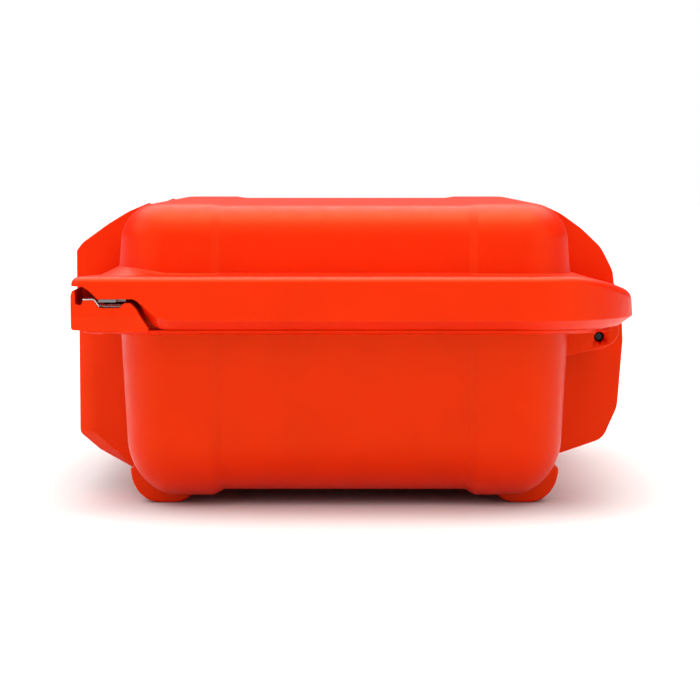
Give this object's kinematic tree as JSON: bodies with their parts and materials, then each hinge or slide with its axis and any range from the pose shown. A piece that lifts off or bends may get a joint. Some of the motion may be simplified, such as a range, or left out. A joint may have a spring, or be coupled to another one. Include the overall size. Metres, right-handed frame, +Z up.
{
  "type": "first aid kit",
  "caption": "Small waterproof hard case with a hinged lid, front latch, padlock tabs and feet, holding first aid supplies in foam.",
  "frame": {"origin": "on the ground under the middle of the closed case's bounding box", "axes": "+X along the case's length, -Y towards the front with the latch, +Y towards the hinges, +Z up"},
  "size_m": [0.259, 0.2044, 0.1095],
  "materials": {
    "orange_plastic": "moulded, finely textured orange-red",
    "black_plastic": "moulded, fine texture, black",
    "grey_plastic": "moulded, dark grey",
    "steel": "brushed stainless",
    "polished_steel": "polished stainless",
    "seal_rubber": "smooth black seal",
    "foam": "closed-cell foam, dark grey",
    "webbing": "woven elastic, black",
    "gauze": "woven crepe, off-white",
    "tape_white": "wound cloth tape, white",
    "core_blue": "blue spool",
    "bottle_white": "white bottle",
    "cap_green": "ribbed green cap",
    "pack_paper": "sealed paper sachet",
    "card_green": "printed card, green",
    "foil": "crinkled foil, folded"
  },
  "bodies": {
    "base": {"base_shell": "orange_plastic", "base_hasp_plate_left": "steel", "base_hasp_plate_right": "steel", "hinge_pin_left": "steel", "hinge_pin_right": "steel", "claw_pin": "steel", "valve_body": "black_plastic", "valve_seal": "seal_rubber", "valve_nut": "black_plastic", "foam_insert": "foam", "gauze_roll_1": "gauze", "gauze_roll_2": "gauze", "gauze_roll_3": "gauze", "tape_roll": "tape_white", "tape_core": "core_blue", "antiseptic_bottle": "bottle_white", "bottle_cap": "cap_green", "dressing_pack_1": "pack_paper", "dressing_pack_2": "pack_paper", "dressing_pack_3": "pack_paper", "dressing_pack_4": "pack_paper", "plaster_box": "card_green", "foil_blanket": "foil"},
    "lid": {"lid_shell": "orange_plastic", "lid_gasket": "seal_rubber", "lid_hasp_plate_left": "steel", "lid_hasp_plate_right": "steel", "lid_pad": "foam", "elastic_loop_1": "webbing", "elastic_loop_2": "webbing", "elastic_loop_3": "webbing", "scissors_lower_half": "polished_steel", "scissors_rivet": "polished_steel", "tweezers": "polished_steel"},
    "scissors_blade": {"scissors_upper_half": "polished_steel"},
    "claw": {"latch_claw": "black_plastic", "lever_pin": "steel"},
    "lever": {"latch_lever": "black_plastic"},
    "slide_lock": {"latch_slide_lock": "grey_plastic"}
  },
  "joints": [
    {"name": "lid_hinge", "type": "hinge", "parent": "base", "child": "lid", "pos_m": [0, 0.0911, 0.0606], "axis": [-1, 0, 0], "range_deg": [0, 105]},
    {"name": "claw_hinge", "type": "hinge", "parent": "base", "child": "claw", "pos_m": [0, -0.0925, 0.05], "axis": [1, 0, 0], "range_deg": [0, 37]},
    {"name": "lever_hinge", "type": "hinge", "parent": "claw", "child": "lever", "pos_m": [0, -0.0983, 0.0795], "axis": [-1, 0, 0], "range_deg": [0, 80]},
    {"name": "lock_slide", "type": "slide", "parent": "lever", "child": "slide_lock", "axis": [1, 0, 0], "range_m": [0, 0.008]},
    {"name": "scissors_pivot", "type": "hinge", "parent": "lid", "child": "scissors_blade", "pos_m": [-0.006, 0.024, 0.091], "axis": [0, 0, -1], "range_deg": [0, 28]}
  ],
  "couplings": [
    {"joint": "claw_hinge", "follows": "lever_hinge", "ratio": 0.45}
  ]
}
